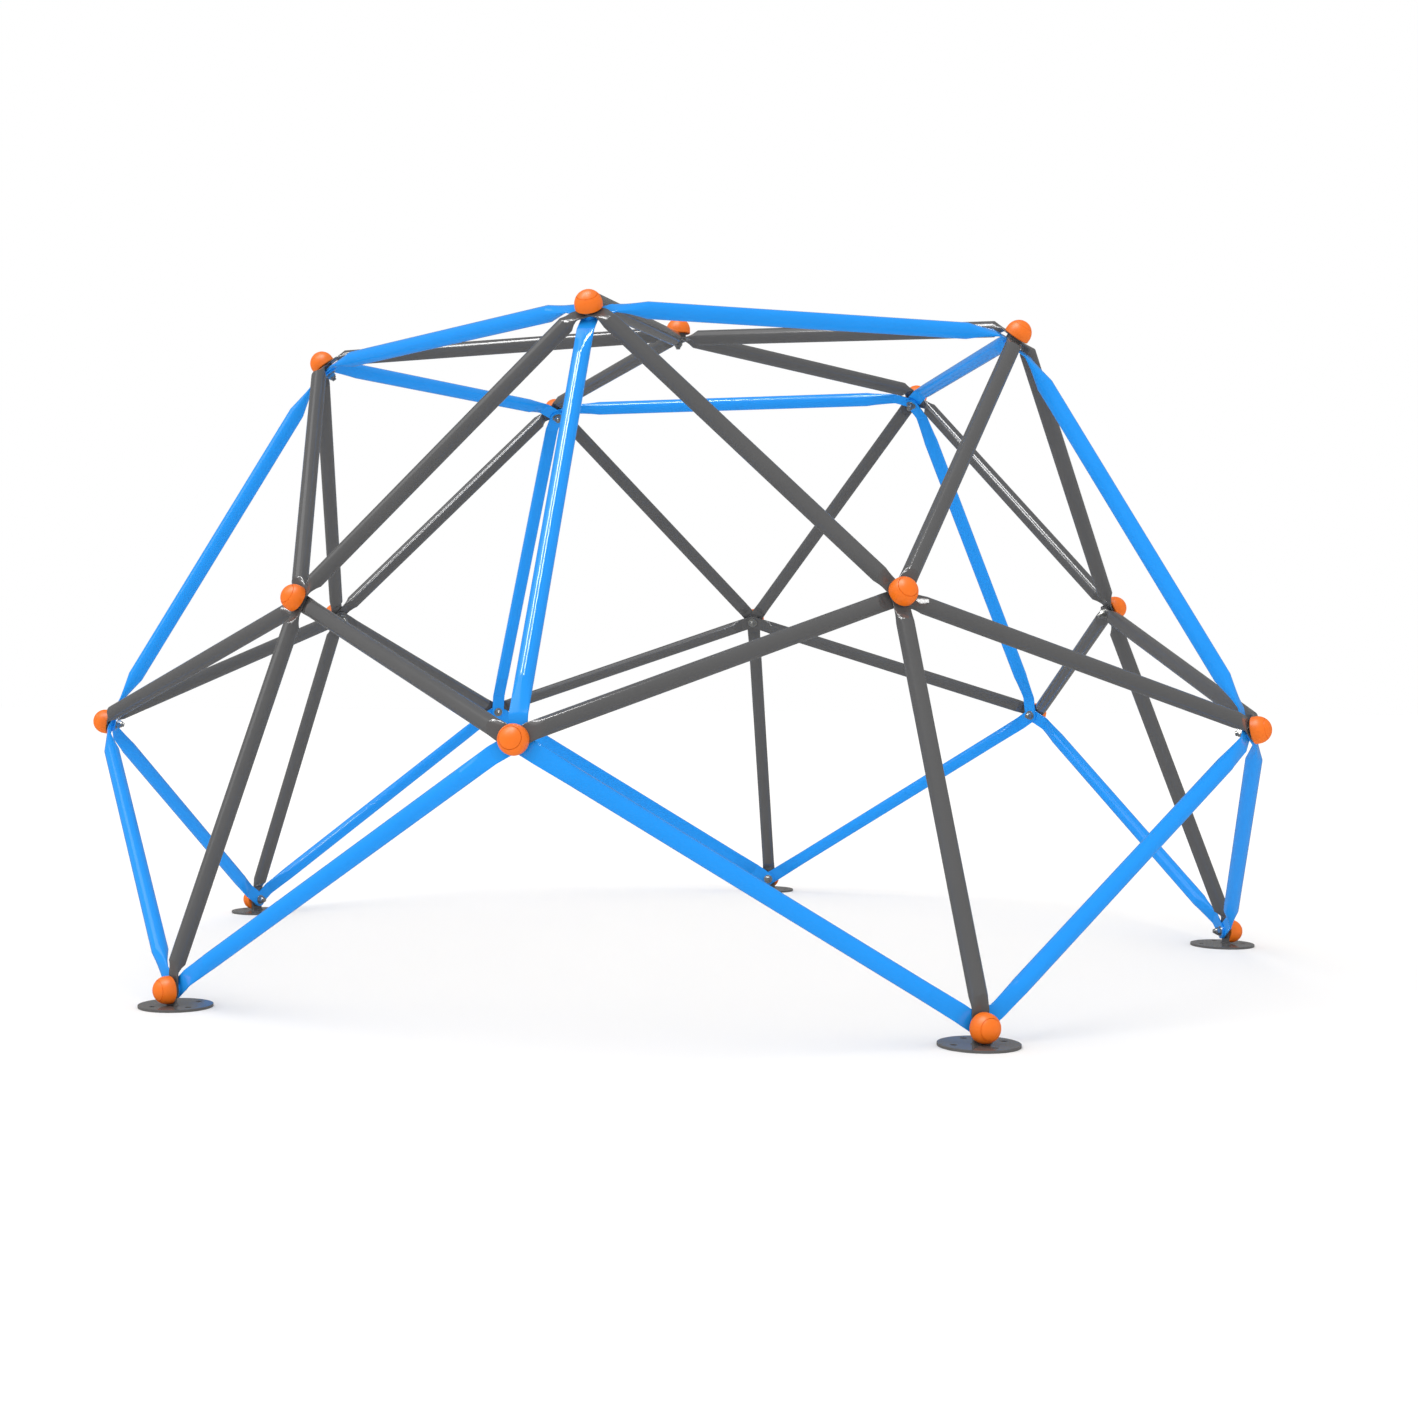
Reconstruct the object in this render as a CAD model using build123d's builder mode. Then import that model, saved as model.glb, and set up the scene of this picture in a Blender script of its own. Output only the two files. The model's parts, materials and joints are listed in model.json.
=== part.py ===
"""Geodesic dome climber: fifty pressed-end tubes bolted together at twenty-one joints.

The blue tubes follow the edges of the upper part of a regular dodecahedron that stands on five
feet. Every pentagon of it carries a low pyramid of five shorter grey tubes, whose tips are the apex
and the five upper joints. Millimetres, +Z up, the origin on the ground on the dome's axis, and
sector 1 towards -Y. Sectors are numbered anticlockwise as seen from above.
"""

import os
from math import acos, atan, cos, degrees, pi, radians, sin, sqrt

from build123d import *

# The dome
long_pitch = 1075.0  # bolt to bolt along a blue tube
pyramid_rise = 90.0  # how far the apex and the upper joints stand out of their pentagons
sector_count = 5

# Tubes with pressed ends
tube_diameter = 38.1
tube_wall = 2.0
tab_width = 40.0
tab_thickness = 4.0
press_corner_angle = 30.0  # where a corner line of the pressing runs out on the round tube
bore_slit = 1.0  # height of the gap between the pressed walls, where they part

# The long pressed ends of the blue tubes and the short ones of the grey tubes
long_tab_reach = 55.0  # from the bolt to the crease, where the tube leaves the tab's plane
long_press_length = 80.0  # from the crease to the full round section
long_bore_start = 6.0  # from the crease to where the pressed walls part
short_tab_reach = 37.0
short_press_length = 24.0
short_bore_start = 2.0

# M12 fasteners
bolt_diameter = 12.0
bolt_clearance = 1.0  # on the diameter, in tabs, lugs, caps and washers
thread_clearance = 0.2  # on the diameter, between a bolt and its nut
bolt_end = 5.0  # thread that stands out of a nut
head_height = 7.5
hex_across_flats = 19.0
hex_chamfer_angle = 30.0
washer_diameter = 28.0
washer_thickness = 2.5
nut_hex_height = 8.0
nut_collar_height = 4.0
nut_collar_diameter = 17.0
nut_collar_fillet = 1.2

# Two-piece plastic caps over the bolt heads
cap_radius = 31.0
cap_shoulder = 9.5  # straight side below the rounded top
cap_wall = 3.0
cap_floor = 3.0  # clamped under the washer of the bolt head
cap_base_chamfer = 1.5
lid_radius = 23.0
lid_gap = 0.2
lid_skirt = 8.0  # below the edge of the lid
lid_skirt_wall = 2.0
snap_bead = 0.7  # how far the bead of the lid stands out of its skirt
snap_bead_height = 2.4

# Feet
plate_diameter = 165.0
plate_thickness = 6.0
plate_chamfer = 0.8
anchor_pitch_diameter = 114.0
anchor_hole_diameter = 14.0
anchor_hole_count = 4
lug_width = 40.0
lug_thickness = 6.0
lug_weld = 2.5
cap_to_plate = 2.0  # below the cap of a foot, which clears the weld

# What follows from them
golden = (1 + sqrt(5)) / 2
sector_angle = 360 / sector_count
crown_radius = long_pitch / (2 * sin(radians(sector_angle / 2)))
belt_radius = crown_radius * golden
foot_height = plate_thickness + cap_to_plate + cap_radius
belt_height = foot_height + crown_radius / golden
crown_height = belt_height + crown_radius
centre = Vector(0, 0, foot_height + crown_radius / golden / 2)
tip_distance = crown_radius * golden**2 / 2 + pyramid_rise
upper_elevation = degrees(atan(1 / 2))
bolt_hole = bolt_diameter + bolt_clearance
tube_bore = tube_diameter - 2 * tube_wall


def ring_point(azimuth, radius, height):
    """The point at an azimuth in degrees on a level circle about the dome's axis."""
    return Vector(radius * cos(radians(azimuth)), radius * sin(radians(azimuth)), height)


class Joint:
    """One bolt, with tabs stacked about its point along an axis that points out of the dome."""

    def __init__(self, point, axis, tabs, lug=0.0):
        self.point = point
        self.axis = axis.normalized()
        self.tabs = tabs
        self.lug = lug
        self.half_stack = tabs * tab_thickness / 2
        across = Vector(0, 0, 1).cross(self.axis)
        self.across = across.normalized() if across.length > 1e-6 else Vector(1, 0, 0)

    def layer(self, number):
        """The middle of a tab, where layer 1 is the innermost."""
        return self.point + self.axis * ((number - 0.5) * tab_thickness - self.half_stack)

    def outer_plane(self):
        """On the outermost face of the stack, facing out of the dome."""
        face = self.point + self.axis * (self.half_stack + self.lug)
        return Plane(origin=face, x_dir=self.across, z_dir=self.axis)

    def inner_plane(self):
        """On the innermost face of the stack, facing into the dome."""
        face = self.point - self.axis * self.half_stack
        return Plane(origin=face, x_dir=self.across, z_dir=-self.axis)


apex = Joint(centre + Vector(0, 0, tip_distance), Vector(0, 0, 1), tabs=5)
crown = []
belt = []
upper = []
foot = []
for sector in range(sector_count):
    corner_azimuth = -90 + sector * sector_angle
    side_azimuth = corner_azimuth + sector_angle / 2
    crown_point = ring_point(corner_azimuth, crown_radius, crown_height)
    belt_point = ring_point(corner_azimuth, belt_radius, belt_height)
    foot_point = ring_point(side_azimuth, belt_radius, foot_height)
    upper_axis = ring_point(side_azimuth, cos(radians(upper_elevation)), sin(radians(upper_elevation)))
    crown.append(Joint(crown_point, crown_point - centre, tabs=6))
    belt.append(Joint(belt_point, belt_point - centre, tabs=5))
    upper.append(Joint(centre + upper_axis * tip_distance, upper_axis, tabs=5))
    foot.append(Joint(foot_point, ring_point(side_azimuth, 1, 0), tabs=3, lug=lug_thickness))
joints = [apex, *crown, *belt, *upper, *foot]


class PressedEnd:
    """The lengths of a tube's pressed end, measured from the bolt outwards."""

    def __init__(self, tab_reach, press_length, bore_start):
        self.tab_reach = tab_reach
        self.press_length = press_length
        self.bore_start = bore_start


long_end = PressedEnd(long_tab_reach, long_press_length, long_bore_start)
short_end = PressedEnd(short_tab_reach, short_press_length, short_bore_start)


def write_part(name, part):
    """Labels a finished piece and writes its file."""
    part.label = name
    export_step(part, f"parts/{name}.step")


def tab_plane(joint, layer, towards):
    """The middle plane of a tab, whose X runs from the bolt towards the other end of its tube."""
    way = towards - joint.point
    way = way - joint.axis * way.dot(joint.axis)
    return Plane(origin=joint.layer(layer), x_dir=way, z_dir=joint.axis)


def round_section(diameter):
    """A circle in four arcs, which meet where the corners of the pressing run out."""
    side = 2 * press_corner_angle
    with BuildSketch() as section:
        with BuildLine():
            for start, sweep_angle in ((-side / 2, side), (side / 2, 180 - side)):
                CenterArc((0, 0), diameter / 2, start, sweep_angle)
                CenterArc((0, 0), diameter / 2, start + 180, sweep_angle)
        make_face()
    return section.sketch


def pressed_tube(name, end, first, first_layer, second, second_layer):
    """A round tube between two joints, pressed flat, bent and holed at both ends."""
    first_tab = tab_plane(first, first_layer, second.point)
    second_tab = tab_plane(second, second_layer, first.point)
    first_crease = first_tab.origin + first_tab.x_dir * end.tab_reach
    second_crease = second_tab.origin + second_tab.x_dir * end.tab_reach
    along = (second_crease - first_crease).normalized()
    round_length = (second_crease - first_crease).length - 2 * end.press_length
    ends = ((first_tab, first_crease, along), (second_tab, second_crease, -along))
    round_start = Plane(origin=first_crease + along * end.press_length, z_dir=along)
    outside = round_section(tube_diameter)
    bore = round_section(tube_bore)
    with BuildPart() as tube:
        for tab, crease, way in ends:
            across = tab.y_dir - way * tab.y_dir.dot(way)
            with BuildSketch(tab.offset(-tab_thickness / 2)):
                Circle(tab_width / 2)
                Rectangle(end.tab_reach, tab_width, align=(Align.MIN, Align.CENTER))
                Circle(bolt_hole / 2, mode=Mode.SUBTRACT)
            extrude(amount=tab_thickness)
            with BuildSketch(Plane(origin=crease, x_dir=tab.y_dir, z_dir=tab.x_dir)):
                Rectangle(tab_width, tab_thickness)
            with BuildSketch(Plane(origin=crease + way * end.press_length, x_dir=across, z_dir=way)):
                add(outside)
            loft(ruled=True)
        with BuildSketch(round_start):
            Circle(tube_diameter / 2)
        extrude(amount=round_length)
        with BuildSketch(round_start):
            Circle(tube_bore / 2)
        extrude(amount=round_length, mode=Mode.SUBTRACT)
        for tab, crease, way in ends:
            across = tab.y_dir - way * tab.y_dir.dot(way)
            with BuildSketch(Plane(origin=crease + way * end.bore_start, x_dir=across, z_dir=way)):
                Rectangle(tab_width - 4 * tube_wall, bore_slit)
            with BuildSketch(Plane(origin=crease + way * end.press_length, x_dir=across, z_dir=way)):
                add(bore)
            loft(ruled=True, mode=Mode.SUBTRACT)
    write_part(name, tube.part)


def foot_plate(name, joint):
    """A round ground plate with anchor holes and a welded upright lug."""
    ground = Plane(origin=(joint.point.X, joint.point.Y, 0), x_dir=joint.axis, z_dir=(0, 0, 1))
    lug_face = joint.point + joint.axis * joint.half_stack
    with BuildPart() as base:
        with BuildSketch(ground):
            Circle(plate_diameter / 2)
            with PolarLocations(anchor_pitch_diameter / 2, anchor_hole_count):
                Circle(anchor_hole_diameter / 2, mode=Mode.SUBTRACT)
        extrude(amount=plate_thickness)
        rim = base.edges().filter_by(GeomType.CIRCLE).group_by(SortBy.RADIUS)[-1]
        chamfer(rim.group_by(Axis.Z)[-1], plate_chamfer)
        with BuildSketch(Plane(origin=lug_face, x_dir=joint.across, z_dir=joint.axis)):
            Circle(lug_width / 2)
            lug_depth = foot_height - plate_thickness
            Rectangle(lug_width, lug_depth, align=(Align.CENTER, Align.MAX))
            Circle(bolt_hole / 2, mode=Mode.SUBTRACT)
        extrude(amount=lug_thickness)
        weld_line = base.edges().filter_by(GeomType.LINE).filter_by(Plane.XY).group_by(Axis.Z)[0]
        fillet(weld_line, lug_weld)
    write_part(name, base.part)


def hexagon(height):
    """A hexagon of one wrench size on the plane XY, its upper corners chamfered as if turned."""
    corner_radius = hex_across_flats / 2 / cos(radians(30))
    corner_drop = (corner_radius - hex_across_flats / 2) * sin(radians(hex_chamfer_angle))
    with BuildPart() as block:
        with BuildSketch():
            RegularPolygon(corner_radius, 6)
        extrude(amount=height)
        with BuildSketch(Plane.XZ):
            with BuildLine():
                Polyline(
                    (0, 0),
                    (corner_radius, 0),
                    (corner_radius, height - corner_drop),
                    (hex_across_flats / 2, height),
                    (0, height),
                    close=True,
                )
            make_face()
        revolve(axis=Axis.Z, mode=Mode.INTERSECT)
    return block.part


def bolt_shape(grip):
    """A hexagon bolt whose head stands on the plane XY and whose shank hangs below it."""
    with BuildPart() as bolt:
        add(hexagon(head_height))
        with BuildSketch():
            Circle(bolt_diameter / 2)
        extrude(amount=-grip)
    return bolt.part


os.makedirs("parts", exist_ok=True)

# Tubes, five of each kind
for sector in range(sector_count):
    number = sector + 1
    beyond = (sector + 1) % sector_count
    pressed_tube(f"crown_spoke_{number}", short_end, crown[sector], 6, apex, number)
    pressed_tube(f"crown_ring_tube_{number}", long_end, crown[sector], 2, crown[beyond], 3)
    pressed_tube(f"shoulder_tube_{number}", long_end, crown[sector], 1, belt[sector], 1)
    pressed_tube(f"upper_brace_a_{number}", short_end, crown[sector], 5, upper[sector], 4)
    pressed_tube(f"upper_brace_b_{number}", short_end, crown[beyond], 4, upper[sector], 5)
    pressed_tube(f"belt_tube_a_{number}", short_end, belt[sector], 5, upper[sector], 1)
    pressed_tube(f"belt_tube_b_{number}", short_end, belt[beyond], 4, upper[sector], 2)
    pressed_tube(f"centre_leg_{number}", short_end, upper[sector], 3, foot[sector], 3)
    pressed_tube(f"splayed_leg_a_{number}", long_end, belt[sector], 3, foot[sector], 2)
    pressed_tube(f"splayed_leg_b_{number}", long_end, belt[beyond], 2, foot[sector], 1)
    foot_plate(f"foot_{number}", foot[sector])

# Where an arc of the cap's wall stands above the shoulder
wall_inside = cap_radius - cap_wall
lid_edge_radius = lid_radius - lid_gap
skirt_radius = lid_edge_radius - lid_skirt_wall
seam_angle = degrees(acos(lid_radius / cap_radius))
body_lip_angle = degrees(acos(lid_radius / wall_inside))
lid_edge_angle = degrees(acos(lid_edge_radius / cap_radius))
skirt_root_angle = degrees(acos(skirt_radius / wall_inside))
body_lip_height = cap_shoulder + wall_inside * sin(radians(body_lip_angle))
lid_edge_height = cap_shoulder + cap_radius * sin(radians(lid_edge_angle))
skirt_end = lid_edge_height - lid_skirt
bead_top = body_lip_height - 2 * lid_gap

with BuildPart() as cap_body:
    with BuildSketch(Plane.XZ):
        with BuildLine():
            outside = CenterArc((0, cap_shoulder), cap_radius, 0, seam_angle)
            inside = CenterArc((0, cap_shoulder), wall_inside, 0, body_lip_angle)
            Line(outside @ 1, inside @ 1)
            Polyline(
                inside @ 0,
                (wall_inside, cap_floor),
                (bolt_hole / 2, cap_floor),
                (bolt_hole / 2, 0),
                (cap_radius - cap_base_chamfer, 0),
                (cap_radius, cap_base_chamfer),
                outside @ 0,
            )
        make_face()
    revolve(axis=Axis.Z)

with BuildPart() as cap_lid:
    with BuildSketch(Plane.XZ):
        with BuildLine():
            top = CenterArc((0, cap_shoulder), cap_radius, lid_edge_angle, 90 - lid_edge_angle)
            under = CenterArc((0, cap_shoulder), wall_inside, skirt_root_angle, 90 - skirt_root_angle)
            Line(top @ 1, under @ 1)
            Polyline(
                top @ 0,
                (lid_edge_radius, bead_top),
                (lid_edge_radius + snap_bead, bead_top - snap_bead),
                (lid_edge_radius, bead_top - snap_bead_height),
                (lid_edge_radius, skirt_end),
                (skirt_radius, skirt_end),
                under @ 0,
            )
        make_face()
    revolve(axis=Axis.Z)

with BuildPart() as washer:
    with BuildSketch():
        Circle(washer_diameter / 2)
        Circle(bolt_hole / 2, mode=Mode.SUBTRACT)
    extrude(amount=washer_thickness)

with BuildPart() as nut:
    add(hexagon(nut_hex_height))
    with BuildSketch():
        Circle(nut_collar_diameter / 2)
    extrude(amount=nut_hex_height + nut_collar_height)
    fillet(nut.edges().group_by(Axis.Z)[-1], nut_collar_fillet)
    Hole((bolt_diameter + thread_clearance) / 2)

# What repeats at every joint shares a node
outer_places = [joint.outer_plane().location for joint in joints]
outer_washer_places = [joint.outer_plane().offset(cap_floor).location for joint in joints]
inner_washer_places = [joint.inner_plane().location for joint in joints]
nut_places = [joint.inner_plane().offset(washer_thickness).location for joint in joints]
head_seat = cap_floor + washer_thickness

with BuildPart() as cap_bodies:
    with Locations(*outer_places):
        add(cap_body.part)

with BuildPart() as cap_lids:
    with Locations(*outer_places):
        add(cap_lid.part)

with BuildPart() as washers:
    with Locations(*outer_washer_places, *inner_washer_places):
        add(washer.part)

with BuildPart() as nuts:
    with Locations(*nut_places):
        add(nut.part)

with BuildPart() as bolts:
    for joint in joints:
        stack = joint.tabs * tab_thickness + joint.lug
        nut_side = washer_thickness + nut_hex_height + nut_collar_height + bolt_end
        with Locations(joint.outer_plane().offset(head_seat).location):
            add(bolt_shape(head_seat + stack + nut_side))

write_part("cap_bodies", cap_bodies.part)
write_part("cap_lids", cap_lids.part)
write_part("washers", washers.part)
write_part("nuts", nuts.part)
write_part("bolts", bolts.part)

short_pitch = (crown[0].point - apex.point).length
foot_centre_radius = sqrt(foot[0].point.X ** 2 + foot[0].point.Y ** 2)
tube_steel = pi * (tube_diameter - tube_wall) * tube_wall
print(f"short pitch {short_pitch:.2f}, long pitch {long_pitch:.2f}, tube section {tube_steel:.1f} mm2")
print(f"foot centres on radius {foot_centre_radius:.2f}, apex joint at height {apex.point.Z:.2f}")
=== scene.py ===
import json
from math import acos, atan, cos, pi, radians, sin, sqrt

import bmesh
import bpy
from mathutils import Matrix, Vector


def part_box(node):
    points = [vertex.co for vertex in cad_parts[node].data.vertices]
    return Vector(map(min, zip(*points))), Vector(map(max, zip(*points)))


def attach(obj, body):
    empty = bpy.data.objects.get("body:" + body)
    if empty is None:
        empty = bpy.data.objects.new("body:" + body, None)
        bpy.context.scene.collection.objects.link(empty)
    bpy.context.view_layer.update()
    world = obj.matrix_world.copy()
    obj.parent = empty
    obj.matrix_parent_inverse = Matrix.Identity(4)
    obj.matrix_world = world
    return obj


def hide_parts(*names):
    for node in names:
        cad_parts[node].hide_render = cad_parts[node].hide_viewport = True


# A geodesic dome climber: fifty tubes with pressed ends, bolted together at twenty-one joints.
# Metres, +Z up, the origin on the ground on the dome's axis.
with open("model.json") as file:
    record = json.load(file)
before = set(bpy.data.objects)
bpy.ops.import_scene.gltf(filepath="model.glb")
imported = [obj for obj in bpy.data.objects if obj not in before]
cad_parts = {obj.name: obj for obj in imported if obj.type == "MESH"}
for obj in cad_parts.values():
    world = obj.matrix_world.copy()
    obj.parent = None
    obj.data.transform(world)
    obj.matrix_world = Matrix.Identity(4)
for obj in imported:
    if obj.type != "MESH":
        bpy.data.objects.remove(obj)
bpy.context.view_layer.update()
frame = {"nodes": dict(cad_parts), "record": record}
print("frame: {} CAD nodes".format(len(frame["nodes"])))


# Where the joints are

layout = {
    "sectors": 5,
    "firstAzimuth": -90,
    "tabThickness": .004,
    "lugThickness": .006,
    "lugWidth": .040,
    "headTop": .013,  # of a bolt's head, above the outermost face
    "apexTabs": 5, "crownTabs": 6, "beltTabs": 5, "upperTabs": 5, "footTabs": 3,
}


class Joint:
    def __init__(self, point, axis, tabs, lug=0):
        self.point = point
        self.axis = axis.normalized()
        self.tabs = tabs
        self.lug = lug
        self.halfStack = tabs * layout["tabThickness"] / 2
        across = Vector((0, 0, 1)).cross(self.axis)
        self.across = across.normalized() if across.length > 1e-6 else Vector((1, 0, 0))

    def layer(self, number):  # the middle of a tab; layer 1 is the innermost
        return self.point + self.axis * ((number - .5) * layout["tabThickness"] - self.halfStack)

    def outside(self, height=0):  # on the outermost face, facing out of the dome
        face = self.halfStack + self.lug + height
        return placed(self.point + self.axis * face, self.across, self.axis)

    def inside(self, height=0):  # on the innermost face, facing into the dome
        face = self.halfStack + height
        return placed(self.point - self.axis * face, self.across, -self.axis)


def placed(point, across, out):
    matrix = Matrix((across, out.cross(across), out)).transposed().to_4x4()
    matrix.translation = point
    return matrix


def ringPoint(azimuth, radius, height):
    return Vector((radius * cos(azimuth), radius * sin(azimuth), height))


mounts = {mount["name"]: mount for mount in frame["record"]["mounts"]}
golden = (1 + sqrt(5)) / 2
sectorAngle = 2 * pi / layout["sectors"]
faceTilt = atan(.5)  # how far up the side faces of a dodecahedron look
beltRadius = Vector(mounts["foot_1_anchors"]["pos_m"]).length
crownRadius = beltRadius / golden
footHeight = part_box("foot_1")[1].z - layout["lugWidth"] / 2
beltHeight = footHeight + crownRadius / golden
crownHeight = beltHeight + crownRadius
centre = Vector((0, 0, footHeight + crownRadius / golden / 2))
apexStack = layout["apexTabs"] * layout["tabThickness"]
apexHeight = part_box("bolts")[1].z - layout["headTop"] - apexStack / 2
tipDistance = apexHeight - centre.z

apex = Joint(Vector((0, 0, apexHeight)), Vector((0, 0, 1)), layout["apexTabs"])
crown, belt, upper, foot = [], [], [], []
for sector in range(layout["sectors"]):
    cornerAzimuth = radians(layout["firstAzimuth"]) + sector * sectorAngle
    sideAzimuth = cornerAzimuth + sectorAngle / 2
    crownPoint = ringPoint(cornerAzimuth, crownRadius, crownHeight)
    beltPoint = ringPoint(cornerAzimuth, beltRadius, beltHeight)
    upperAxis = ringPoint(sideAzimuth, cos(faceTilt), sin(faceTilt))
    footPoint = ringPoint(sideAzimuth, beltRadius, footHeight)
    crown.append(Joint(crownPoint, crownPoint - centre, layout["crownTabs"]))
    belt.append(Joint(beltPoint, beltPoint - centre, layout["beltTabs"]))
    upper.append(Joint(centre + upperAxis * tipDistance, upperAxis, layout["upperTabs"]))
    footAxis = ringPoint(sideAzimuth, 1, 0)
    foot.append(Joint(footPoint, footAxis, layout["footTabs"], layout["lugThickness"]))
joints = [apex, *crown, *belt, *upper, *foot]
print("joints:", len(joints))


# Hands: what every piece is modelled with

def alone(piece):
    bpy.ops.object.select_all(action="DESELECT")
    piece.select_set(True)
    bpy.context.view_layer.objects.active = piece


def startEdit(piece):
    alone(piece)
    bpy.ops.object.mode_set(mode="EDIT")
    bpy.ops.mesh.select_all(action="SELECT")


def endEdit():
    bpy.ops.object.mode_set(mode="OBJECT")


def pick(part, test):
    modes = {"verts": "VERT", "edges": "EDGE", "faces": "FACE"}
    bpy.ops.mesh.select_mode(type=modes[part])
    bpy.ops.mesh.select_all(action="DESELECT")
    mesh = bpy.context.object.data
    for item in getattr(bmesh.from_edit_mesh(mesh), part):
        item.select_set(bool(test(item)))
    bmesh.update_edit_mesh(mesh)


def middle(item):
    return sum((vert.co for vert in item.verts), Vector()) / len(item.verts)


def clean(distance=1e-6):
    bpy.ops.mesh.select_all(action="SELECT")
    bpy.ops.mesh.remove_doubles(threshold=distance)
    bpy.ops.mesh.normals_make_consistent(inside=False)


def modify(piece, kind, **settings):
    alone(piece)
    bpy.ops.object.modifier_add(type=kind)
    modifier = piece.modifiers[-1]
    for key, value in settings.items():
        setattr(modifier, key, value)
    bpy.ops.object.modifier_apply(modifier=modifier.name)


def cut(piece, tool, operation="DIFFERENCE"):
    modify(piece, "BOOLEAN", object=tool, operation=operation, solver="EXACT")
    bpy.data.objects.remove(tool)


def roundEdges(piece, width, segments=2, sharperThan=40):
    modify(piece, "BEVEL", width=width, segments=segments, limit_method="ANGLE",
           angle_limit=radians(sharperThan), use_clamp_overlap=True, harden_normals=False)


def shade(piece, angle=30):
    alone(piece)
    bpy.ops.object.shade_smooth_by_angle(angle=radians(angle))
    modify(piece, "WEIGHTED_NORMAL", keep_sharp=True, weight=100)


def rod(name, radius, depth, height=0, vertices=64):  # upright, from a height up
    bpy.ops.mesh.primitive_cylinder_add(vertices=vertices, radius=radius, depth=depth,
                                        location=(0, 0, height + depth / 2))
    piece = bpy.context.object
    piece.name = name
    bpy.ops.object.transform_apply(location=True, rotation=True, scale=True)
    return piece


def block(name, low, high):
    low, high = Vector(low), Vector(high)
    bpy.ops.mesh.primitive_cube_add(size=1, location=(low + high) / 2, scale=high - low)
    piece = bpy.context.object
    piece.name = name
    bpy.ops.object.transform_apply(location=True, rotation=True, scale=True)
    return piece


def turned(name, start, strokes, steps=64):
    # A stroke is the outline's next (radius, height), or (centre height, angle, parts) for an arc
    # about a point on the axis, where a positive angle climbs.
    bpy.ops.mesh.primitive_plane_add(size=.001)
    piece = bpy.context.object
    piece.name = name
    startEdit(piece)
    bpy.ops.mesh.merge(type="CENTER")
    here = Vector((start[0], 0, start[1]))
    bpy.ops.transform.translate(value=here)
    for stroke in strokes:
        if len(stroke) == 2:
            there = Vector((stroke[0], 0, stroke[1]))
            bpy.ops.mesh.extrude_region_move(TRANSFORM_OT_translate={"value": there - here})
        else:
            height, angle, parts = stroke
            pivot = Vector((0, 0, height))
            bpy.ops.mesh.spin(steps=parts, angle=-angle, center=pivot, axis=(0, -1, 0))
            there = pivot + Matrix.Rotation(angle, 3, (0, -1, 0)) @ (here - pivot)
        here = there
    bpy.ops.mesh.select_all(action="SELECT")
    bpy.ops.mesh.spin(steps=steps, angle=2 * pi, center=(0, 0, 0), axis=(0, 0, 1))
    clean()
    endEdit()
    return piece


def copied(piece, name, place):
    twin = piece.copy()
    twin.data = piece.data.copy()
    twin.name = twin.data.name = name
    bpy.context.collection.objects.link(twin)
    twin.data.transform(place)
    return twin


def fitted(piece, finish, slot, *nodes):
    piece.data.materials.clear()
    piece.data.materials.append(finish)
    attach(piece, "root")
    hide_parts(*nodes)


# Finishes

class Number:  # a node's output that takes part in sums
    def __init__(self, finish, socket):
        self.finish = finish
        self.socket = socket

    def worked(self, operation, first, second):
        return self.finish.node("ShaderNodeMath", {"operation": operation},
                                {0: first, 1: second})

    def __add__(self, other):
        return self.worked("ADD", self, other)

    def __radd__(self, other):
        return self.worked("ADD", other, self)

    def __sub__(self, other):
        return self.worked("SUBTRACT", self, other)

    def __rsub__(self, other):
        return self.worked("SUBTRACT", other, self)

    def __mul__(self, other):
        return self.worked("MULTIPLY", self, other)

    def __rmul__(self, other):
        return self.worked("MULTIPLY", other, self)


class Finish:
    def __init__(self, name):
        self.material = bpy.data.materials.new(name)
        self.material.use_nodes = True
        self.tree = self.material.node_tree
        self.tree.nodes.clear()

    def node(self, kind, settings=None, sockets=None, output=0):
        node = self.tree.nodes.new(kind)
        for key, value in (settings or {}).items():
            setattr(node, key, value)
        for key, value in (sockets or {}).items():
            if isinstance(value, Number):
                self.tree.links.new(value.socket, node.inputs[key])
            else:
                node.inputs[key].default_value = value
        return Number(self, node.outputs[output]) if node.outputs else None

    def place(self):
        return self.node("ShaderNodeTexCoord", output="Object")

    def noise(self, place, scale, detail):
        return self.node("ShaderNodeTexNoise", None, {"Vector": place, "Scale": scale,
                         "Detail": detail, "Roughness": .5})

    def mixed(self, factor, first, second):
        return self.node("ShaderNodeMix", {"data_type": "RGBA"},
                         {0: factor, 6: first, 7: second}, 2)

    def bump(self, height, strength, distance):
        return self.node("ShaderNodeBump", None, {"Height": height, "Strength": strength,
                         "Distance": distance})

    def surface(self, **sockets):
        named = {key.replace("_", " "): value for key, value in sockets.items()}
        shader = self.node("ShaderNodeBsdfPrincipled", None, named)
        self.node("ShaderNodeOutputMaterial", None, {"Surface": shader})
        return self.material


def tinted(colour, share):
    return (*(part * share for part in colour), 1)


def powderCoat(name, settings):
    paint = Finish(name)
    place = paint.place()
    cloud = paint.noise(place, settings["cloudScale"], detail=3)
    peel = paint.noise(place, settings["peelScale"], detail=2)
    colour = paint.mixed(cloud, tinted(settings["colour"], 1 - settings["tint"]),
                         tinted(settings["colour"], 1 + settings["tint"]))
    roughness = settings["roughness"] + (cloud - .5) * settings["roughnessSpread"]
    return paint.surface(Base_Color=colour, Roughness=roughness,
                         Normal=paint.bump(peel, settings["peel"], settings["peelDepth"]))


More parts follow.
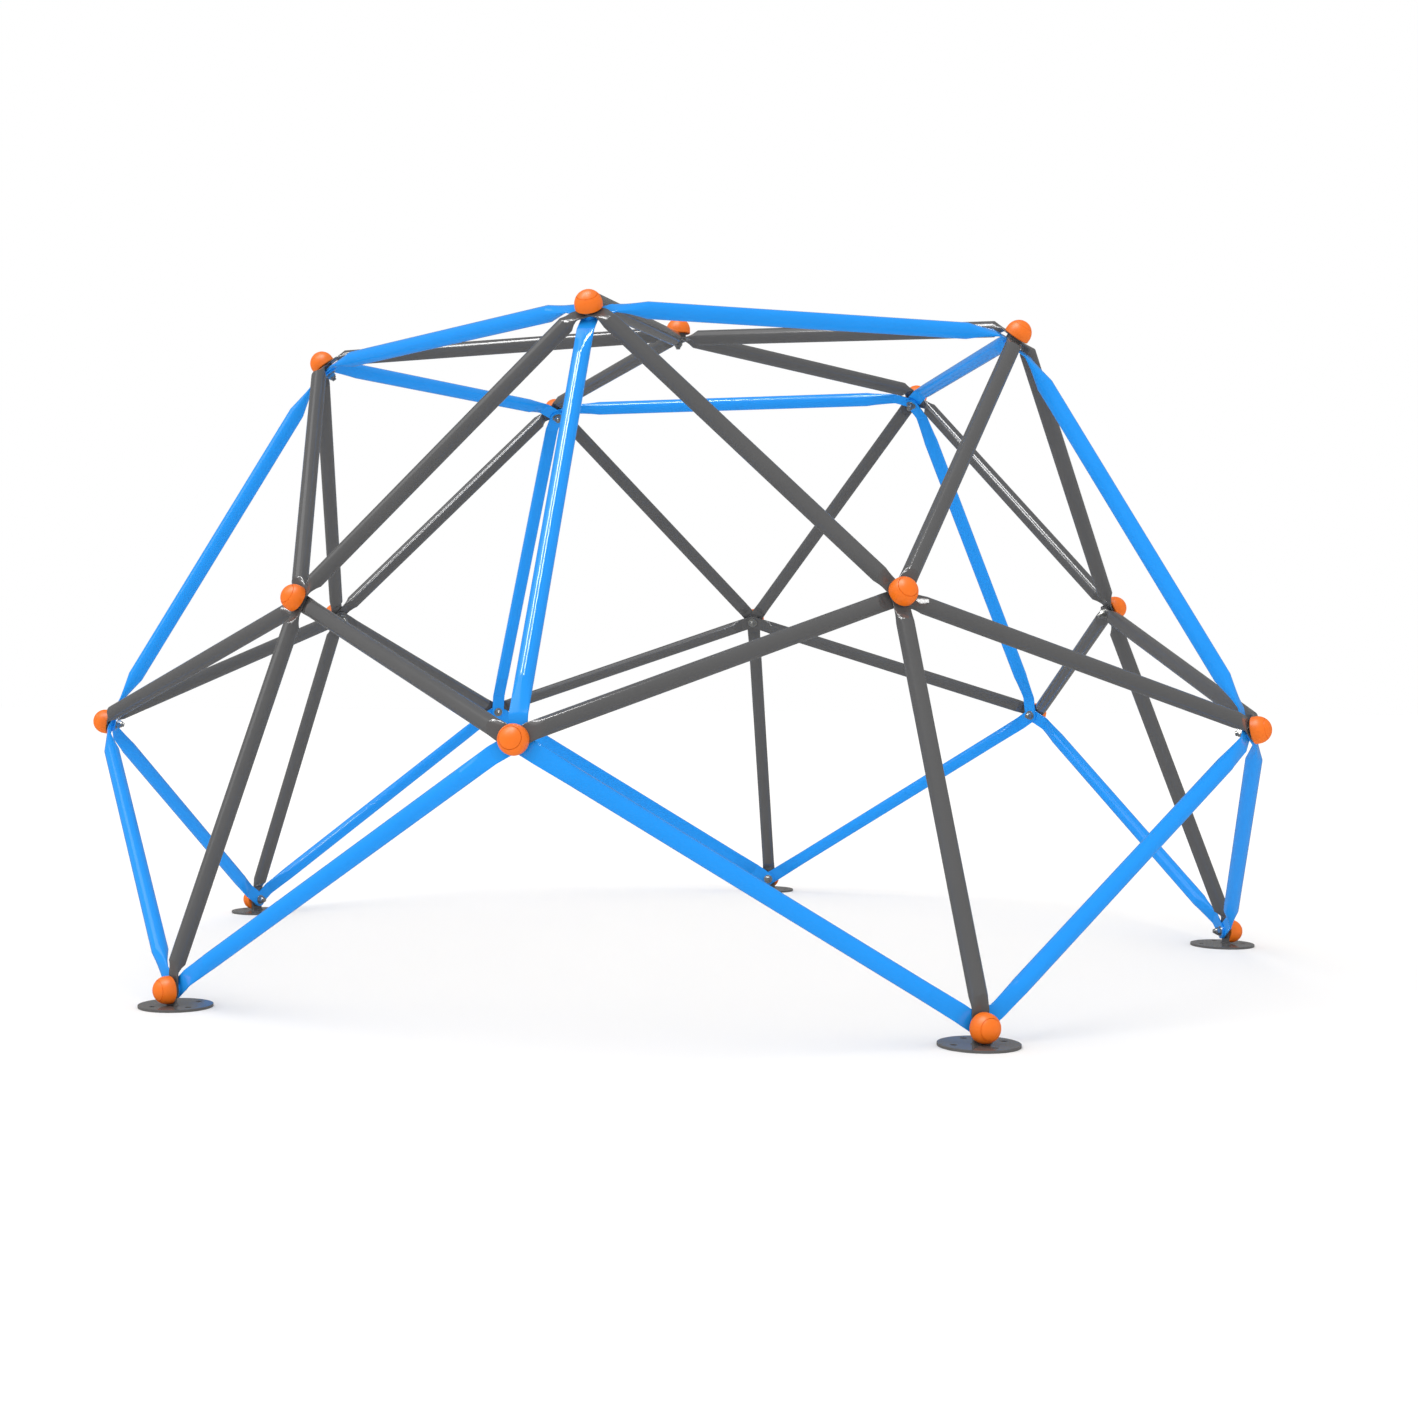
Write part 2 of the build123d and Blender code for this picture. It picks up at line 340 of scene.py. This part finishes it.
def mouldedPlastic(name, settings):
    plastic = Finish(name)
    place = plastic.place()
    flow = plastic.noise(place, settings["flowScale"], detail=3)
    grain = plastic.noise(place, settings["grainScale"], detail=2)
    colour = plastic.mixed(flow, tinted(settings["colour"], 1 - settings["tint"]),
                           tinted(settings["colour"], 1 + settings["tint"]))
    roughness = settings["roughness"] + (grain - .5) * settings["roughnessSpread"]
    return plastic.surface(Base_Color=colour, Roughness=roughness,
                           Specular_IOR_Level=settings["specular"],
                           Normal=plastic.bump(grain, settings["grain"], settings["grainDepth"]))


def zincPlate(name, settings):
    zinc = Finish(name)
    place = zinc.place()
    bath = zinc.noise(place, settings["bathScale"], detail=3)
    crystals = zinc.node("ShaderNodeTexVoronoi", None,
                         {"Vector": place, "Scale": settings["crystalScale"]})
    colour = zinc.mixed(bath, (*settings["colour"], 1), (*settings["yellowed"], 1))
    roughness = (settings["roughness"] + (bath - .5) * settings["roughnessSpread"]
                 + (crystals - .5) * settings["roughnessSpread"])
    return zinc.surface(Base_Color=colour, Metallic=1, Roughness=roughness,
                        Normal=zinc.bump(crystals, settings["grain"], settings["grainDepth"]))


bluePaint = powderCoat("bluePowderCoat", {
    "colour": (.014, .315, .93), "tint": .04, "cloudScale": 7,
    "roughness": .11, "roughnessSpread": .06,
    "peelScale": 420, "peel": .1, "peelDepth": .00005})
greyPaint = powderCoat("greyPowderCoat", {
    "colour": (.104, .104, .105), "tint": .05, "cloudScale": 7,
    "roughness": .15, "roughnessSpread": .06,
    "peelScale": 420, "peel": .1, "peelDepth": .00005})
footPaint = powderCoat("footPowderCoat", {
    "colour": (.115, .113, .112), "tint": .05, "cloudScale": 11,
    "roughness": .12, "roughnessSpread": .06,
    "peelScale": 420, "peel": .1, "peelDepth": .00003})
capPlastic = mouldedPlastic("orangeCapPlastic", {
    "colour": (.96, .186, .006), "tint": .04, "flowScale": 28,
    "roughness": .42, "roughnessSpread": .10, "specular": .35,
    "grainScale": 1400, "grain": .2, "grainDepth": .0001})
plating = zincPlate("zincPlate", {
    "colour": (.60, .61, .60), "yellowed": (.66, .65, .60), "bathScale": 60,
    "roughness": .30, "roughnessSpread": .14,
    "crystalScale": 1500, "grain": .2, "grainDepth": .00005})
print("finishes: 5")


# Tubes with pressed ends

tubeSizes = {
    "diameter": .0381,
    "sides": 48,
    "tabWidth": .040,
    "tabThickness": .0039,  # a hair less than its layer, so that stacked tabs show their joints
    "foldParts": 4,
    "endSides": 72, "holeSides": 40,
    "boltHole": .013,
    "longReach": .055, "shortReach": .037,  # from the bolt to the crease, blue and grey
    "longPress": .080, "shortPress": .024,
    "longPressParts": 12, "shortPressParts": 8,
    "creaseWidth": .003, "creaseParts": 3,
    "seamWidth": .0002, "seamDepth": .0008,  # where the two pressed walls meet in the cut end
    "seamStart": .003,  # behind the bolt
    "cutRounding": .00035,
    "endSpan": .55,  # of the tab's width, within which the edges of one open end lie
}


def tabEnd(reach, sizes):
    # Flat on the plane XY, its bolt at the origin and its crease at +X, open there
    half, thickness = sizes["tabWidth"] / 2, sizes["tabThickness"]
    tab = block("tabEnd", (-half, -half, -thickness / 2), (reach, half, thickness / 2))
    startEdit(tab)
    pick("edges", lambda edge: abs(edge.verts[0].co.x - edge.verts[1].co.x) > half)
    bpy.ops.mesh.bevel(offset=thickness / 2, segments=sizes["foldParts"], affect="EDGES")
    clean(1e-5)
    endEdit()

    through = thickness * 3
    outline = rod("outline", half, through, -through / 2, sizes["endSides"])
    startEdit(outline)
    bpy.ops.mesh.bisect(plane_co=(0, 0, 0), plane_no=(1, 0, 0), clear_outer=True)
    pick("edges", lambda edge: len(edge.link_faces) < 2)
    bpy.ops.mesh.extrude_region_move(TRANSFORM_OT_translate={"value": (reach * 1.2, 0, 0)})
    bpy.ops.mesh.edge_face_add()
    endEdit()
    cut(tab, outline, "INTERSECT")

    inner, outer, level = half - sizes["seamDepth"], half + .001, sizes["seamWidth"] / 2
    seam = turned("seam", (inner, -level),
                  ((outer, -level), (outer, level), (inner, level), (inner, -level)),
                  sizes["endSides"])
    startEdit(seam)
    bpy.ops.mesh.bisect(plane_co=(-sizes["seamStart"], 0, 0), plane_no=(1, 0, 0),
                        use_fill=True, clear_outer=True)
    endEdit()
    cut(tab, seam)
    cut(tab, rod("hole", sizes["boltHole"] / 2, through, -through / 2, sizes["holeSides"]))

    startEdit(tab)
    pick("faces", lambda face: all(abs(vert.co.x - reach) < 1e-6 for vert in face.verts))
    bpy.ops.mesh.delete(type="FACE")
    endEdit()
    roundEdges(tab, sizes["cutRounding"])
    startEdit(tab)
    pick("edges", lambda edge: len(edge.link_faces) < 2
         and abs(edge.verts[0].co.y - edge.verts[1].co.y) > half)
    flatParts = sizes["sides"] // 2 - 2 * sizes["foldParts"]
    bpy.ops.mesh.subdivide(number_cuts=flatParts - 1)
    endEdit()
    return tab


def pressedTube(name, end, first, firstLayer, second, secondLayer):
    sizes = tubeSizes
    reach, press, parts = (sizes[end + size] for size in ("Reach", "Press", "PressParts"))
    ends = []
    for joint, layer, other in ((first, firstLayer, second), (second, secondLayer, first)):
        way = other.point - joint.point
        way = (way - joint.axis * way.dot(joint.axis)).normalized()
        bolt = joint.layer(layer)
        ends.append((joint.axis, way, bolt, bolt + way * reach))
    along = (ends[1][3] - ends[0][3]).normalized()
    pieces, creases, rounds = [], [], []
    for (axis, way, bolt, crease), run in zip(ends, (along, -along)):
        pieces.append(copied(tabPatterns[end], name, placed(bolt, way, axis)))
        across = axis.cross(way)
        across = (across - run * across.dot(run)).normalized()
        start = crease + run * press
        bpy.ops.mesh.primitive_circle_add(vertices=sizes["sides"], radius=sizes["diameter"] / 2)
        circle = bpy.context.object
        circle.data.transform(placed(start, across, run))
        pieces.append(circle)
        creases.append(crease)
        rounds.append(start)
    bpy.ops.object.select_all(action="DESELECT")
    for piece in pieces:
        piece.select_set(True)
    tube = pieces[0]
    bpy.context.view_layer.objects.active = tube
    bpy.ops.object.join()

    startEdit(tube)
    within = sizes["tabWidth"] * sizes["endSpan"]
    for places, cuts in (((creases[0], rounds[0]), parts - 1),
                         ((creases[1], rounds[1]), parts - 1), (rounds, 0)):
        pick("edges", lambda edge: len(edge.link_faces) < 2
             and any((middle(edge) - place).length < within for place in places))
        bpy.ops.mesh.bridge_edge_loops(number_cuts=cuts, interpolation="LINEAR")
    for axis, way, bolt, crease in ends:
        pick("edges", lambda edge: (middle(edge) - crease).length < within
             and all(abs((vert.co - crease).dot(way)) < 1e-6 for vert in edge.verts))
        bpy.ops.mesh.bevel(offset=sizes["creaseWidth"], segments=sizes["creaseParts"],
                           affect="EDGES")
    bpy.ops.mesh.select_all(action="SELECT")
    bpy.ops.mesh.normals_make_consistent(inside=False)
    endEdit()
    shade(tube)
    return tube


tabPatterns = {end: tabEnd(tubeSizes[end + "Reach"], tubeSizes) for end in ("long", "short")}
blueTube = ("long", bluePaint, "blue_powder_coat")
greyTube = ("short", greyPaint, "grey_powder_coat")
tubeKinds = (
    # each end's joint, its step and its layer; a step of 1 is the same joint one sector on
    ("crownRingTube", "crown_ring_tube", (crown, 0, 2), (crown, 1, 3), blueTube),
    ("shoulderTube", "shoulder_tube", (crown, 0, 1), (belt, 0, 1), blueTube),
    ("upperBraceA", "upper_brace_a", (crown, 0, 5), (upper, 0, 4), greyTube),
    ("upperBraceB", "upper_brace_b", (crown, 1, 4), (upper, 0, 5), greyTube),
    ("beltTubeA", "belt_tube_a", (belt, 0, 5), (upper, 0, 1), greyTube),
    ("beltTubeB", "belt_tube_b", (belt, 1, 4), (upper, 0, 2), greyTube),
    ("centreLeg", "centre_leg", (upper, 0, 3), (foot, 0, 3), greyTube),
    ("splayedLegA", "splayed_leg_a", (belt, 0, 3), (foot, 0, 2), blueTube),
    ("splayedLegB", "splayed_leg_b", (belt, 1, 2), (foot, 0, 1), blueTube),
)
for pieceName, node, (start, startStep, startLayer), (stop, stopStep, stopLayer), tube in tubeKinds:
    end, *paint = tube
    pattern = pressedTube(pieceName + "1", end, start[startStep], startLayer,
                          stop[stopStep], stopLayer)
    for sector in range(1, layout["sectors"]):
        turn = Matrix.Rotation(sector * sectorAngle, 4, "Z")
        twin = copied(pattern, pieceName + str(sector + 1), turn)
        fitted(twin, *paint, "{}_{}".format(node, sector + 1))
    fitted(pattern, *paint, node + "_1")
for sector in range(layout["sectors"]):  # no two crown spokes are alike, because they share a bolt
    end, *paint = greyTube
    spoke = pressedTube("crownSpoke" + str(sector + 1), end, crown[sector], 6, apex, sector + 1)
    fitted(spoke, *paint, "crown_spoke_" + str(sector + 1))
for pattern in tabPatterns.values():
    bpy.data.objects.remove(pattern)
print("tubes: 50")


# Feet

footSizes = {
    "plateDiameter": .165,
    "plateThickness": .006,
    "anchorPitch": .114,
    "anchorHole": .014,
    "anchorHoles": 4,
    "boltHole": .013,
    "rounding": .0007,
    "weld": .0022,
    "weldRipple": .0022,  # from one ripple to the next
    "weldNeck": .84,  # how wide the bead is between ripples
    "plateSides": 128, "lugSides": 72, "holeSides": 40, "weldSides": 14,
}


def weldBead(name, length, sizes):
    # along Y through the origin
    bead = rod(name, sizes["weld"], length, -length / 2, sizes["weldSides"])
    bead.data.transform(Matrix.Rotation(pi / 2, 4, "X"))
    ripples = round(length / sizes["weldRipple"])
    startEdit(bead)
    pick("edges", lambda edge: abs(edge.verts[0].co.y - edge.verts[1].co.y) > length / 2)
    bpy.ops.mesh.subdivide(number_cuts=2 * ripples - 1)
    step = length / (2 * ripples)
    pick("verts", lambda vert: round((vert.co.y + length / 2) / step) % 2 == 0)
    neck = sizes["weldNeck"]
    bpy.ops.transform.resize(value=(neck, 1, neck), center_override=(0, 0, 0))
    clean()
    endEdit()
    return bead


def footPiece(name, sizes):
    # its plate about the origin, its lug across +X
    top, face = sizes["plateThickness"], layout["footTabs"] * layout["tabThickness"] / 2
    width, depth = layout["lugWidth"], layout["lugThickness"]
    base = rod(name, sizes["plateDiameter"] / 2, top, 0, sizes["plateSides"])
    for hole in range(sizes["anchorHoles"]):
        tool = rod("hole", sizes["anchorHole"] / 2, top * 2, -top / 2, sizes["holeSides"])
        tool.data.transform(Matrix.Translation(
            ringPoint(hole * 2 * pi / sizes["anchorHoles"], sizes["anchorPitch"] / 2, 0)))
        cut(base, tool)
    roundEdges(base, sizes["rounding"])

    lug = rod("lug", width / 2, depth, -depth / 2, sizes["lugSides"])
    lug.data.transform(Matrix.Rotation(pi / 2, 4, "Y"))
    startEdit(lug)
    bpy.ops.mesh.bisect(plane_co=(0, 0, 0), plane_no=(0, 0, 1), clear_inner=True)
    pick("edges", lambda edge: len(edge.link_faces) < 2)
    bpy.ops.mesh.extrude_region_move(
        TRANSFORM_OT_translate={"value": (0, 0, top / 2 - footHeight)})
    bpy.ops.mesh.edge_face_add()
    endEdit()
    hole = rod("hole", sizes["boltHole"] / 2, depth * 2, -depth, sizes["holeSides"])
    hole.data.transform(Matrix.Rotation(pi / 2, 4, "Y"))
    cut(lug, hole)
    roundEdges(lug, sizes["rounding"])
    lug.data.transform(Matrix.Translation((face + depth / 2, 0, footHeight)))
    cut(base, lug, "UNION")

    for side, length, turn in (((face, 0), width, 0), ((face + depth, 0), width, 0),
                               ((face + depth / 2, -width / 2), depth + sizes["weld"], 1),
                               ((face + depth / 2, width / 2), depth + sizes["weld"], 1)):
        bead = weldBead("bead", length + sizes["weld"], sizes)
        bead.data.transform(Matrix.Translation((*side, top))
                            @ Matrix.Rotation(turn * pi / 2, 4, "Z"))
        cut(base, bead, "UNION")
    shade(base, 35)
    return base


footPattern = footPiece("footPattern", footSizes)
for number, joint in enumerate(foot, 1):
    place = placed(Vector((joint.point.x, joint.point.y, 0)), joint.axis, Vector((0, 0, 1)))
    piece = copied(footPattern, "foot" + str(number), place)
    fitted(piece, footPaint, "foot_powder_coat", "foot_" + str(number))
bpy.data.objects.remove(footPattern)
print("feet: 5")


# Caps, each a body and a snapped-in lid

capSizes = {
    "radius": .031,
    "shoulder": .0095,  # height of the straight side
    "wall": .003,
    "floor": .003,
    "boltHole": .013,
    "baseRounding": .0015,
    "lidRadius": .023,
    "lidGap": .0006,
    "lidSkirt": .008,
    "skirtWall": .002,
    "bead": .0007, "beadHeight": .0024,
    "edgeRounding": .001, "edgeParts": 3,
    "bodyParts": 10, "bodyInnerParts": 8, "lidParts": 14, "lidInnerParts": 12,  # of their arcs
}


def capPatterns(sizes):
    outer, inner, shoulder = sizes["radius"], sizes["radius"] - sizes["wall"], sizes["shoulder"]
    hole, floor = sizes["boltHole"] / 2, sizes["floor"]
    edge = sizes["lidRadius"]
    seamAngle, lipAngle = acos(edge / outer), acos(edge / inner)
    lip = shoulder + inner * sin(lipAngle)
    body = turned("capBody", (hole, 0), (
        (outer - sizes["baseRounding"], 0), (outer, sizes["baseRounding"]), (outer, shoulder),
        (shoulder, seamAngle, sizes["bodyParts"]), (edge, lip),
        (shoulder, -lipAngle, sizes["bodyInnerParts"]),
        (inner, floor), (hole, floor), (hole, 0)))
    roundEdges(body, sizes["edgeRounding"], sizes["edgeParts"])
    shade(body)

    edge -= sizes["lidGap"]
    skirt = edge - sizes["skirtWall"]
    lidAngle = acos(edge / outer)
    top, end = lip - 2 * sizes["lidGap"], shoulder + outer * sin(lidAngle) - sizes["lidSkirt"]
    lid = turned("capLid", (0, shoulder + outer), (
        (shoulder, lidAngle - pi / 2, sizes["lidParts"]), (edge, top),
        (edge + sizes["bead"], top - sizes["bead"]),
        (edge, top - sizes["beadHeight"]), (edge, end), (skirt, end),
        (skirt, shoulder + sqrt(inner ** 2 - skirt ** 2)),
        (shoulder, pi / 2 - acos(skirt / inner), sizes["lidInnerParts"])))
    roundEdges(lid, sizes["edgeRounding"], sizes["edgeParts"], sharperThan=44)
    shade(lid)
    return body, lid


capBody, capLid = capPatterns(capSizes)
for number, joint in enumerate(joints, 1):
    place = joint.outside()
    fitted(copied(capBody, "capBody" + str(number), place), capPlastic,
           "orange_cap_plastic", "cap_bodies")
    fitted(copied(capLid, "capLid" + str(number), place), capPlastic,
           "orange_cap_plastic", "cap_lids")
bpy.data.objects.remove(capBody)
bpy.data.objects.remove(capLid)
print("caps: 21 bodies, 21 lids")


# Bolts, nuts and washers

hardware = {
    "boltDiameter": .012,
    "threadPitch": .00175, "threadDepth": .00085,
    "threadLength": .022, "threadParts": 24, "spareTurns": 3,
    "threadForm": ((0, .15), (1, .38), (0, .09), (-1, .38)),  # in depths across and pitches along
    "threadEnd": .005,  # what stands out of a nut
    "headHeight": .0075,
    "acrossFlats": .019,
    "hexDrop": .0007,  # of a corner's chamfer
    "nutFace": .97, "headFace": .94,  # of half the flats, where the chamfer starts
    "shankInHead": .001,
    "overlap": .0001,  # of what is joined or cut
    "nutHeight": .008,
    "collarHeight": .004, "collarDiameter": .017, "collarRounding": .0012,
    "collarFacet": .3,  # of its rounding
    "nutBore": .0122,
    "washerDiameter": .028, "washerThickness": .0025, "washerHole": .013,
    "rounding": .0003, "sharpCorner": 20,
    "spannerStep": 2.4,  # radians from one bolt to the next
}


def hexagonalBlock(height, sizes):
    return rod("hexagon", sizes["acrossFlats"] / 2 / cos(pi / 6), height, 0, 6)


def washerPattern(sizes):
    hole, rim, top = sizes["washerHole"] / 2, sizes["washerDiameter"] / 2, sizes["washerThickness"]
    washer = turned("washer", (hole, 0), ((rim, 0), (rim, top), (hole, top), (hole, 0)))
    roundEdges(washer, sizes["rounding"])
    shade(washer)
    return washer


def nutPattern(sizes):
    flat, bore, drop = sizes["acrossFlats"] / 2, sizes["nutBore"] / 2, sizes["hexDrop"]
    corner, face = flat / cos(pi / 6) + sizes["overlap"], flat * sizes["nutFace"]
    top, collar = sizes["nutHeight"], sizes["collarDiameter"] / 2
    end, soft = top + sizes["collarHeight"], sizes["collarRounding"]
    facet = soft * sizes["collarFacet"]
    nut = turned("nut", (bore + drop, 0), (
        (face, 0), (corner, drop), (corner, top - drop), (face, top), (collar, top),
        (collar, end - soft), (collar - facet, end - facet), (collar - soft, end),
        (bore + drop, end), (bore, end - drop), (bore, drop), (bore + drop, 0)))
    cut(nut, hexagonalBlock(end, sizes), "INTERSECT")
    roundEdges(nut, sizes["rounding"] / 2, sharperThan=sizes["sharpCorner"])
    shade(nut)
    return nut


def threadedEnd(sizes):
    # from the origin down, a helix of one outline cut square, with a lead at its tip
    radius, pitch, depth = sizes["boltDiameter"] / 2, sizes["threadPitch"], sizes["threadDepth"]
    length, overlap = sizes["threadLength"], sizes["overlap"]
    turns = round(length / pitch) + sizes["spareTurns"]
    bpy.ops.mesh.primitive_plane_add(size=.001)
    thread = bpy.context.object
    startEdit(thread)
    bpy.ops.mesh.merge(type="CENTER")
    start = -length - pitch * sizes["spareTurns"] / 2
    bpy.ops.transform.translate(value=(radius - depth, 0, start))
    for across, rise in sizes["threadForm"]:
        bpy.ops.mesh.extrude_region_move(
            TRANSFORM_OT_translate={"value": (across * depth, 0, rise * pitch)})
    endEdit()
    parts = sizes["threadParts"]
    modify(thread, "SCREW", axis="Z", steps=parts, render_steps=parts, screw_offset=pitch,
           iterations=turns, use_merge_vertices=True, merge_threshold=1e-6)
    startEdit(thread)
    bpy.ops.mesh.bisect(plane_co=(0, 0, -overlap / 2), plane_no=(0, 0, 1), use_fill=True,
                        clear_outer=True)
    bpy.ops.mesh.select_all(action="SELECT")
    bpy.ops.mesh.bisect(plane_co=(0, 0, -length), plane_no=(0, 0, -1), use_fill=True,
                        clear_outer=True)
    clean()
    endEdit()
    wide, above, below = radius * 1.2, .001, -length - overlap
    lead = turned("lead", (0, above), (
        (wide, above), (wide, depth - length), (radius - depth, below), (0, below)))
    cut(thread, lead, "INTERSECT")
    return thread


def boltPattern(grip, sizes):
    flat, drop, head = sizes["acrossFlats"] / 2, sizes["hexDrop"], sizes["headHeight"]
    corner, shank = flat / cos(pi / 6) + sizes["overlap"], sizes["boltDiameter"] / 2
    bolt = turned("bolt", (0, head), (
        (flat * sizes["headFace"], head), (corner, head - drop), (corner, 0), (0, 0)))
    cut(bolt, hexagonalBlock(head, sizes), "INTERSECT")
    roundEdges(bolt, sizes["rounding"] / 2, sharperThan=sizes["sharpCorner"])
    plain = grip - sizes["threadLength"]
    cut(bolt, rod("shank", shank, plain + sizes["shankInHead"], -plain), "UNION")
    thread = threadedEnd(sizes)
    thread.data.transform(Matrix.Translation((0, 0, -plain + sizes["overlap"])))
    cut(bolt, thread, "UNION")
    shade(bolt)
    return bolt


washer, nut = washerPattern(hardware), nutPattern(hardware)
headSeat = capSizes["floor"] + hardware["washerThickness"]
nutSide = (hardware["washerThickness"] + hardware["nutHeight"] + hardware["collarHeight"]
           + hardware["threadEnd"])
boltPatterns = {}
for number, joint in enumerate(joints, 1):
    stack = joint.tabs * layout["tabThickness"] + joint.lug
    if stack not in boltPatterns:
        boltPatterns[stack] = boltPattern(headSeat + stack + nutSide, hardware)
    # every one is left at its own angle
    spanner = Matrix.Rotation(number * hardware["spannerStep"], 4, "Z")
    outerWasher = copied(washer, "outerWasher" + str(number), joint.outside(capSizes["floor"]))
    innerWasher = copied(washer, "innerWasher" + str(number), joint.inside())
    bolt = copied(boltPatterns[stack], "bolt" + str(number), joint.outside(headSeat) @ spanner)
    turnedNut = joint.inside(hardware["washerThickness"]) @ spanner
    fitted(outerWasher, plating, "zinc_plated_steel", "washers")
    fitted(innerWasher, plating, "zinc_plated_steel", "washers")
    fitted(bolt, plating, "zinc_plated_steel", "bolts")
    fitted(copied(nut, "nut" + str(number), turnedNut), plating, "zinc_plated_steel", "nuts")
for pattern in (washer, nut, *boltPatterns.values()):
    bpy.data.objects.remove(pattern)
print("bolts: 21, nuts: 21, washers: 42")


# Studio

studio = {
    "floorSize": 60,
    "floorColour": (.905, .890, .872), "floorTint": .005, "floorScale": .6, "floorRoughness": .85,
    "fillLight": 1, "reflectedLight": .3,  # what the surroundings give off, and what is mirrored of it
    "sunLight": .9, "sunSoftness": 60, "sunTilt": 35, "sunAzimuth": 215,
    "stripHeight": 6, "stripWidth": .7, "stripLength": 5, "stripBrightness": 26,
    "strips": ((.1, -3.2, 0), (-2.5, -3.1, 45)),  # the middle of each, and how it is turned
}


def floorFinish(settings):
    floor = Finish("studioFloor")
    cloud = floor.noise(floor.place(), settings["floorScale"], detail=2)
    colour = floor.mixed(cloud, tinted(settings["floorColour"], 1 - settings["floorTint"]),
                         tinted(settings["floorColour"], 1 + settings["floorTint"]))
    return floor.surface(Base_Color=colour, Roughness=settings["floorRoughness"],
                         Specular_IOR_Level=0)


bpy.ops.mesh.primitive_plane_add(size=studio["floorSize"])
floor = bpy.context.object
floor.name = "studioFloor"
floor.data.materials.append(floorFinish(studio))
floor.visible_glossy = False  # the undersides of the tubes would shine with it

world = bpy.data.worlds.new("studioWorld")
bpy.context.scene.world = world
world.use_nodes = True
surroundings = world.node_tree
fill = surroundings.nodes["Background"]
fill.inputs["Color"].default_value = (1, 1, 1, 1)
fill.inputs["Strength"].default_value = studio["fillLight"]
mirrored = surroundings.nodes.new("ShaderNodeBackground")
mirrored.inputs["Strength"].default_value = studio["reflectedLight"]
ray = surroundings.nodes.new("ShaderNodeLightPath")
both = surroundings.nodes.new("ShaderNodeMixShader")
surroundings.links.new(ray.outputs["Is Glossy Ray"], both.inputs["Fac"])
surroundings.links.new(fill.outputs["Background"], both.inputs[1])
surroundings.links.new(mirrored.outputs["Background"], both.inputs[2])
surroundings.links.new(both.outputs["Shader"], surroundings.nodes["World Output"].inputs["Surface"])


# Two long softboxes overhead only show as highlights: the sun and the surroundings light the object.
for number, (x, y, turn) in enumerate(studio["strips"], 1):
    bpy.ops.object.light_add(type="AREA", location=(x, y, studio["stripHeight"]),
                             rotation=(0, 0, radians(-turn)))
    strip = bpy.context.object
    strip.name = "strip" + str(number)
    strip.data.shape = "RECTANGLE"
    strip.data.size, strip.data.size_y = studio["stripWidth"], studio["stripLength"]
    strip.data.energy = studio["stripBrightness"] * pi * strip.data.size * strip.data.size_y
    strip.visible_diffuse = False

bpy.ops.object.light_add(type="SUN")
sun = bpy.context.object
sun.name = "softSun"
sun.data.energy = studio["sunLight"]
sun.data.angle = radians(studio["sunSoftness"])
sun.rotation_euler = (radians(studio["sunTilt"]), 0, radians(studio["sunAzimuth"] - 270))

cameraPlace = {
    "azimuth": 282.136, "distance": 5.3145, "height": .7401,
    "heading": 105.467, "tilt": -3.687,
    "lens": 50.861, "shiftX": .105, "shiftY": .064, "farthest": 200,
}
bpy.ops.object.camera_add(location=ringPoint(radians(cameraPlace["azimuth"]),
                                             cameraPlace["distance"], cameraPlace["height"]))
camera = bpy.context.object
camera.name = "studioCamera"
camera.rotation_euler = (radians(90 + cameraPlace["tilt"]), 0, radians(cameraPlace["heading"] - 90))
camera.data.lens = cameraPlace["lens"]
camera.data.shift_x = cameraPlace["shiftX"]
camera.data.shift_y = cameraPlace["shiftY"]
camera.data.clip_end = cameraPlace["farthest"]
bpy.context.scene.camera = camera
bpy.context.scene.view_settings.view_transform = "Standard"
print("studio ready")
